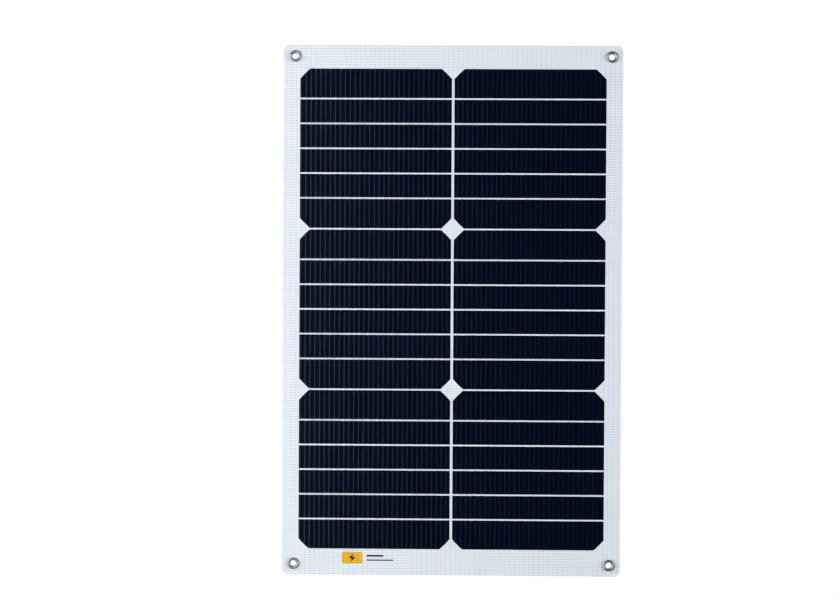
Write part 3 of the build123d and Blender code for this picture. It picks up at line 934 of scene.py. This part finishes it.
for end, body, height in (("top", "panel_1", eyelet_z), ("bottom", f"panel_{PANELS}", -eyelet_z)):
    for kind, outline in (("eyelets", eyelet_outline()), ("eyelet_washers", washer_outline())):
        ring = make_object(f"{kind}_{end}_bright", turned(outline))
        values = {"Start": (-eyelet_x, 0.0, height), "Step": (2 * eyelet_x, 0.0, 0.0), "Count": 2}
        apply_tree(ring, copies_in_line, Material=eyelet_steel, **values)
        shade(ring)
        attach(ring, body)
        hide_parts(f"{kind}_{end}")


# %% [markdown]
# ## Junction box
# The moulded parts have the right shape already, but their edges are knife sharp, and nothing moulded is. A
# copy of each is merged, its flat faces are joined up, and a bevel rounds the edges so that they catch light.

# %% Rounded copies of the CAD parts
def rounded_copy(node, name, material, width):
    """A copy of a CAD part with its edges rounded by width, in its place on its body."""
    bm = bmesh.new()
    bm.from_mesh(nodes[node].data)
    bmesh.ops.remove_doubles(bm, verts=bm.verts, dist=1e-6)
    bmesh.ops.dissolve_limit(bm, angle_limit=math.radians(1), verts=bm.verts, edges=bm.edges)
    piece = make_object(name, bm, material)
    bevel = piece.modifiers.new("rounding", "BEVEL")
    bevel.width, bevel.segments = width, 3
    bevel.limit_method, bevel.angle_limit = "ANGLE", math.radians(40)
    bevel.harden_normals = True
    keep_result(piece)
    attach(piece, nodes[node]["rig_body"])
    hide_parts(node)
    return piece


rounded_copy("box_base", "box_base_moulded", box_abs, 0.4 * MM)
rounded_copy("box_lid", "box_lid_moulded", box_abs, 0.3 * MM)
rounded_copy("gland_bodies", "gland_bodies_moulded", gland_nylon, 0.15 * MM)
rounded_copy("gland_nuts", "gland_nuts_moulded", gland_nylon, 0.12 * MM)


# %% [markdown]
# The lid's face isn't left bare. A mould maker breaks up a wide flat face with a groove, which hides how it
# sinks as it cools, and raises the signs for the two poles where the installer looks for them. The finger
# tab gets three grip ribs. The groove is cut by a flat ring, and the signs and ribs are rounded bars that
# stand proud.

# %% Lid details
GROOVE_INSET = 4.5 * MM
GROOVE_WIDTH = 1.0 * MM
GROOVE_DEPTH = 0.6 * MM
SIGN_SIZE = 6.0 * MM
SIGN_BAR = 1.3 * MM
PROUD_SIGN = 0.5 * MM
SUNK = 0.2 * MM  # how far a raised bar's foot reaches into the lid
GROOVE_ROUND = 3.0 * MM
BAR_ROUND = 0.45  # radius of a bar's corners, as a share of its narrow side
RIB_COUNT = 3
RIB_WIDTH, RIB_HEIGHT = 12 * MM, 0.45 * MM
PROUD_RIB = 0.2 * MM
FIRST_RIB = 0.8 * MM  # from the tab's lower edge
RIB_PITCH = 0.9 * MM


def rounded_box(left, low, width, height, radius, steps=6):
    """Outline of a rectangle with rounded corners."""
    points = []
    corners = ((1, 1, 0), (0, 1, 90), (0, 0, 180), (1, 0, 270))
    for right, upper, first in corners:
        centre_x = left + (width - radius if right else radius)
        centre_z = low + (height - radius if upper else radius)
        for step in range(steps + 1):
            angle = math.radians(first + 90 * step / steps)
            points.append((centre_x + radius * math.cos(angle), centre_z + radius * math.sin(angle)))
    return points


pad_low, pad_high = span("box_adhesive")
box_left, box_right = pad_low.x, pad_high.x
box_low, box_top = pad_low.z, pad_high.z
lid_points = [vertex.co for vertex in nodes["box_lid"].data.vertices]
lid_y = max(place.y for place in lid_points if place.z < (box_low + box_top) / 2)  # clear of the hinge


def bar_on_lid(name, centre_x, centre_z, width, height, foot, top):
    """One rounded bar between two depths, about a point on the lid."""
    left, low, radius = centre_x - width / 2, centre_z - height / 2, BAR_ROUND * min(width, height)
    outline = rounded_box(left, low, width, height, radius)
    return make_object(name, prism(outline, foot, top), box_abs)


def groove_cutter():
    """A flat ring that follows the lid's outline."""
    width, height = box_right - box_left - 2 * GROOVE_INSET, box_top - box_low - 2 * GROOVE_INSET
    left, low = box_left + GROOVE_INSET, box_low + GROOVE_INSET
    outer = rounded_box(left, low, width, height, GROOVE_ROUND)
    thin = GROOVE_WIDTH
    inner = rounded_box(left + thin, low + thin, width - 2 * thin, height - 2 * thin, GROOVE_ROUND - thin)
    bm = bmesh.new()
    levels = (lid_y - GROOVE_DEPTH, lid_y + GROOVE_DEPTH)
    rings = [[bm.verts.new((x, y, z)) for x, z in ring] for ring in (outer, inner) for y in levels]
    for i in range(len(outer)):
        j = (i + 1) % len(outer)
        for one, two in ((0, 1), (1, 3), (3, 2), (2, 0)):
            bm.faces.new((rings[one][i], rings[one][j], rings[two][j], rings[two][i]))
    return make_object("groove_cutter", bm)


lid = bpy.data.objects["box_lid_moulded"]
cutter = groove_cutter()
cut_away(lid, cutter)
bpy.data.objects.remove(cutter)
shade(lid)

nuts_low, nuts_high = span("gland_nuts")
gland_x = nuts_high.x - (nuts_high.y - nuts_low.y) / 2  # a nut is as deep as it is wide
sign_z = box_low + GROOVE_INSET + GROOVE_WIDTH + SIGN_SIZE
foot, sign_top, rib_top = lid_y - SUNK, lid_y + PROUD_SIGN, lid_y + PROUD_RIB
lid_marks = [
    bar_on_lid("lid_minus", gland_x, sign_z, SIGN_SIZE, SIGN_BAR, foot, sign_top),
    bar_on_lid("lid_plus", -gland_x, sign_z, SIGN_SIZE, SIGN_BAR, foot, sign_top),
    bar_on_lid("lid_plus_upright", -gland_x, sign_z, SIGN_BAR, SIGN_SIZE, foot, sign_top),
]
tab_low = span("box_lid")[0].z
for rib in range(RIB_COUNT):
    height = tab_low + FIRST_RIB + RIB_PITCH * rib
    lid_marks.append(bar_on_lid(f"tab_rib_{rib + 1}", 0.0, height, RIB_WIDTH, RIB_HEIGHT, foot, rib_top))
for mark in lid_marks:
    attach(mark, "lid")
print("gland centres", round(gland_x / MM, 1), "tab edge", round(tab_low / MM, 1))
print("lid face", round(lid_y / MM, 2))


# %% [markdown]
# The remaining parts keep their CAD meshes. They are small, plain and mostly out of sight: a pad of
# adhesive, seals, a pin, rails, a diode, the leads and the ribbons that join the cells. Each gets only its
# own material.

# %% Finishes of the parts that stay as they are
plain_finishes = {
    "box_adhesive": silicone,
    "lid_seal": seal_rubber,
    "gland_seals": seal_rubber,
    "lid_hinge_pin": pin_steel,
    "contact_rails": tinned_copper,
    "bypass_diode": diode_epoxy,
    "output_leads": tinned_copper,
}
for panel in range(1, PANELS + 1):
    plain_finishes[f"cell_links_{panel}"] = tinned_copper
for node, material in plain_finishes.items():
    for place in nodes[node].material_slots:
        place.material = material


# %% [markdown]
# ## Printed mark
# Makers print a small mark in the lower margin, under the clear film. This one is a plain one of no maker: an
# amber tile with a bolt on it, and two dark bars.

# %% Inks
UNEVEN = 0.1  # how far the coat's unevenness darkens it


def make_ink(name, colour):
    """Screen-print ink: an even matt coat, a shade uneven."""
    material, tree = new_material(name)
    place = add_node(tree, "ShaderNodeTexCoord")
    screen = add_node(tree, "ShaderNodeTexNoise", Vector=place.outputs["Object"], Scale=700.0, Detail=2.0)
    mixing = {"data_type": "RGBA", "blend_type": "MULTIPLY"}
    tint = add_node(tree, "ShaderNodeMix", mixing, i0=UNEVEN)
    tint.inputs[6].default_value = linear(colour)
    tree.links.new(screen.outputs[0], tint.inputs[7])
    shader = add_node(tree, "ShaderNodeBsdfPrincipled", Base_Color=tint.outputs[2], Roughness=0.6)
    shader.inputs["Specular IOR Level"].default_value = 0.1
    finish_material(tree, shader)
    return material


amber_ink = make_ink("screen_ink_amber", "#F0B728")
dark_ink = make_ink("screen_ink_dark", "#1B1E24")


# %% [markdown]
# The mark lies on the white film. Each shape is a closed slab of ink a hundredth of a millimetre thick, and
# the bolt is a second coat on the tile.

# %% The mark
MARK_LEFT, MARK_LOW = 49.5 * MM, 9.0 * MM  # from the sheet's left and lower edges
TILE_WIDTH, TILE_HEIGHT = 17.0 * MM, 9.8 * MM
TILE_ROUND = 1.2 * MM
INK = 0.01 * MM
BARS = ((20.5, 5.9, 14.0, 1.5), (20.5, 2.6, 22.0, 1.0))  # left, low, width, height in mm, from the tile
BAR_CORNER = 0.35  # radius of a printed bar's corners, as a share of its height
BOLT = ((9.6, 8.6), (5.6, 4.5), (8.2, 4.5), (7.2, 1.2), (11.4, 5.6), (8.7, 5.6))  # in mm, on the tile


def print_shape(name, outline, material, coat):
    """A thin slab of ink on the white film. Coat 1 lies on coat 0."""
    near = y_film - INK * (coat + 1)
    piece = make_object(name, prism(outline, near, near + INK), material)
    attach(piece, f"panel_{PANELS}")
    return piece


mark_x, mark_z = MARK_LEFT - half_width, bottom_z + MARK_LOW
tile = rounded_box(mark_x, mark_z, TILE_WIDTH, TILE_HEIGHT, TILE_ROUND)
print_shape("mark_tile", tile, amber_ink, 0)
print_shape("mark_bolt", [(mark_x + x * MM, mark_z + z * MM) for x, z in BOLT], dark_ink, 1)
for number, (left, low, width, height) in enumerate(BARS, 1):
    bar_x, bar_z, radius = mark_x + left * MM, mark_z + low * MM, BAR_CORNER * height * MM
    bar = rounded_box(bar_x, bar_z, width * MM, height * MM, radius)
    print_shape(f"mark_bar_{number}", bar, dark_ink, 0)
print("mark's left and lower edge", round(mark_x / MM, 1), round(mark_z / MM, 1))


# %% [markdown]
# ## Studio
# A black glossy face shows whatever stands in front of it, so the room in front of the sheet is kept dark and
# the light comes from the sides. The floor lies well below. It is a lit panel, as white as the backdrop and
# no whiter, because a whiter one would eat into the sheet's thin edges. It sends no light up, which would
# grey the cells.

# %% Floor
FLOOR_DROP = 0.42  # metres under the sheet
FLOOR_REACH = 6.0
bm = bmesh.new()
bmesh.ops.create_grid(bm, x_segments=1, y_segments=1, size=FLOOR_REACH)
bmesh.ops.translate(bm, verts=bm.verts, vec=(0, FLOOR_REACH / 2, bottom_z - FLOOR_DROP))
floor_panel, floor_tree = new_material("floor_panel_lit")
glow = add_node(floor_tree, "ShaderNodeEmission", Color=linear("#FFFFFF"), Strength=1.0)
finish_material(floor_tree, glow)
floor = make_object("floor", bm, floor_panel)
floor.visible_diffuse = False
floor.visible_glossy = False
floor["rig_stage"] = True
print("floor at", round((bottom_z - FLOOR_DROP) / MM), "mm")


# %% [markdown]
# One tall soft lamp stands to the left. It alone is near the way in which the face mirrors the camera, so the
# scuffed crests glint on the left and fade to the right. A second one stands in the same place and lights
# glossy faces only, so the glints are brighter and the whites are not. Two lamps at the sides fill the whites
# and are hidden from mirrors, or they would lie as patches of glare on the film. Two stand behind, for the
# box. Three more light the eyelets alone: bare steel would otherwise mirror a dark room.

# %% Lamps
def soft_lamp(name, place, aim, width, height, watts):
    """A rectangular soft lamp that points at aim."""
    data = bpy.data.lights.new(name, "AREA")
    data.shape, data.size, data.size_y = "RECTANGLE", width, height
    data.energy = watts
    lamp = bpy.data.objects.new(name, data)
    lamp.location = place
    lamp.rotation_euler = (Vector(aim) - Vector(place)).to_track_quat("-Z", "Y").to_euler()
    bpy.context.scene.collection.objects.link(lamp)
    return lamp


MIDDLE = (0, 0, 0)
LEFT_PLACE = (-0.62, -1.05, -0.02)
SIDES = {"left": -1.9, "right": 1.9}
soft_lamp("left_lamp", LEFT_PLACE, MIDDLE, 0.5, 1.5, 10.8)
glints = soft_lamp("glint_lamp", LEFT_PLACE, MIDDLE, 0.5, 1.5, 6.5)
glints.visible_diffuse = False
for name, watts in (("left", 34), ("right", 41)):
    fill = soft_lamp(f"{name}_side", (SIDES[name], -0.9, -0.05), MIDDLE, 1.2, 2.0, watts)
    fill.visible_glossy = False
soft_lamp("behind_left", (1.0, 1.2, 1.2), MIDDLE, 0.7, 0.7, 26)
soft_lamp("behind_right", (-1.5, 1.4, 0.2), MIDDLE, 1.2, 1.2, 11)

steel_only = bpy.data.collections.new("steel_only")
for end in ("top", "bottom"):
    steel_only.objects.link(bpy.data.objects[f"eyelets_{end}_bright"])
steel_lamps = [soft_lamp("steel_front", (0, -2.0, 0), MIDDLE, 3.0, 3.0, 12)]
for name, x in SIDES.items():
    steel_lamps.append(soft_lamp(f"steel_{name}", (x, -0.9, 0), MIDDLE, 1.2, 1.2, 22))
for lamp in steel_lamps:
    lamp.visible_camera = False
    lamp.light_linking.receiver_collection = steel_only


# %% [markdown]
# The backdrop is white where the camera sees it. What the object mirrors is another matter: the half of the
# room in front of the cells is nearly dark, and the half behind is a soft grey that models the black box.

# %% Backdrop
DIM_FRONT = 0.02  # brightness of the room in front of the cells
SOFT_BEHIND = 0.5  # and straight behind them
world = bpy.data.worlds.new("studio")
bpy.context.scene.world = world
world.use_nodes = True
room = world.node_tree
room.nodes.clear()
facing = add_node(room, "ShaderNodeTexCoord")
depth = add_node(room, "ShaderNodeSeparateXYZ", Vector=facing.outputs["Generated"])
level = add_node(room, "ShaderNodeMapRange", {"interpolation_type": "SMOOTHSTEP"}, Value=depth.outputs[1])
for label, value in (("From Min", 0.0), ("From Max", 0.9), ("To Min", DIM_FRONT), ("To Max", SOFT_BEHIND)):
    level.inputs[label].default_value = value
seen = add_node(room, "ShaderNodeLightPath")
dim = add_node(room, "ShaderNodeBackground", Color=linear("#E6EBF2"), Strength=level.outputs[0])
white = add_node(room, "ShaderNodeBackground", Color=linear("#FFFFFF"), Strength=1.0)
by_camera = seen.outputs["Is Camera Ray"]
both = add_node(room, "ShaderNodeMixShader", i0=by_camera, i1=dim.outputs[0], i2=white.outputs[0])
add_node(room, "ShaderNodeOutputWorld", Surface=both.outputs[0])
print("room:", DIM_FRONT, "in front,", SOFT_BEHIND, "behind")


# %% [markdown]
# A long lens a little above the middle looks almost square at the face, as in a catalogue. The view transform
# is Standard, because a filmic one would grey the white backdrop.

# %% Camera
CAMERA_PLACE = (0.0022, -1.6367, 0.0392)
CAMERA_TURN = (88.94, -0.31, 1.01)  # degrees
LENS = 85.0
camera = bpy.data.objects.new("camera", bpy.data.cameras.new("camera"))
camera.data.lens = LENS
camera.location = CAMERA_PLACE
camera.rotation_euler = [math.radians(angle) for angle in CAMERA_TURN]
bpy.context.scene.collection.objects.link(camera)
bpy.context.scene.camera = camera
bpy.context.scene.view_settings.view_transform = "Standard"
print("lens", LENS, "mm, camera", round(-CAMERA_PLACE[1], 2), "m in front")


# %% [markdown]
# The dressed object is measured once more, and its box is printed in millimetres. Its box has to
# match the CAD model's to a fraction of a millimetre.

# %% Sizes, and the end
low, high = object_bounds()
print("visual box in mm:", [round(v / MM, 1) for v in (*low, *high)])
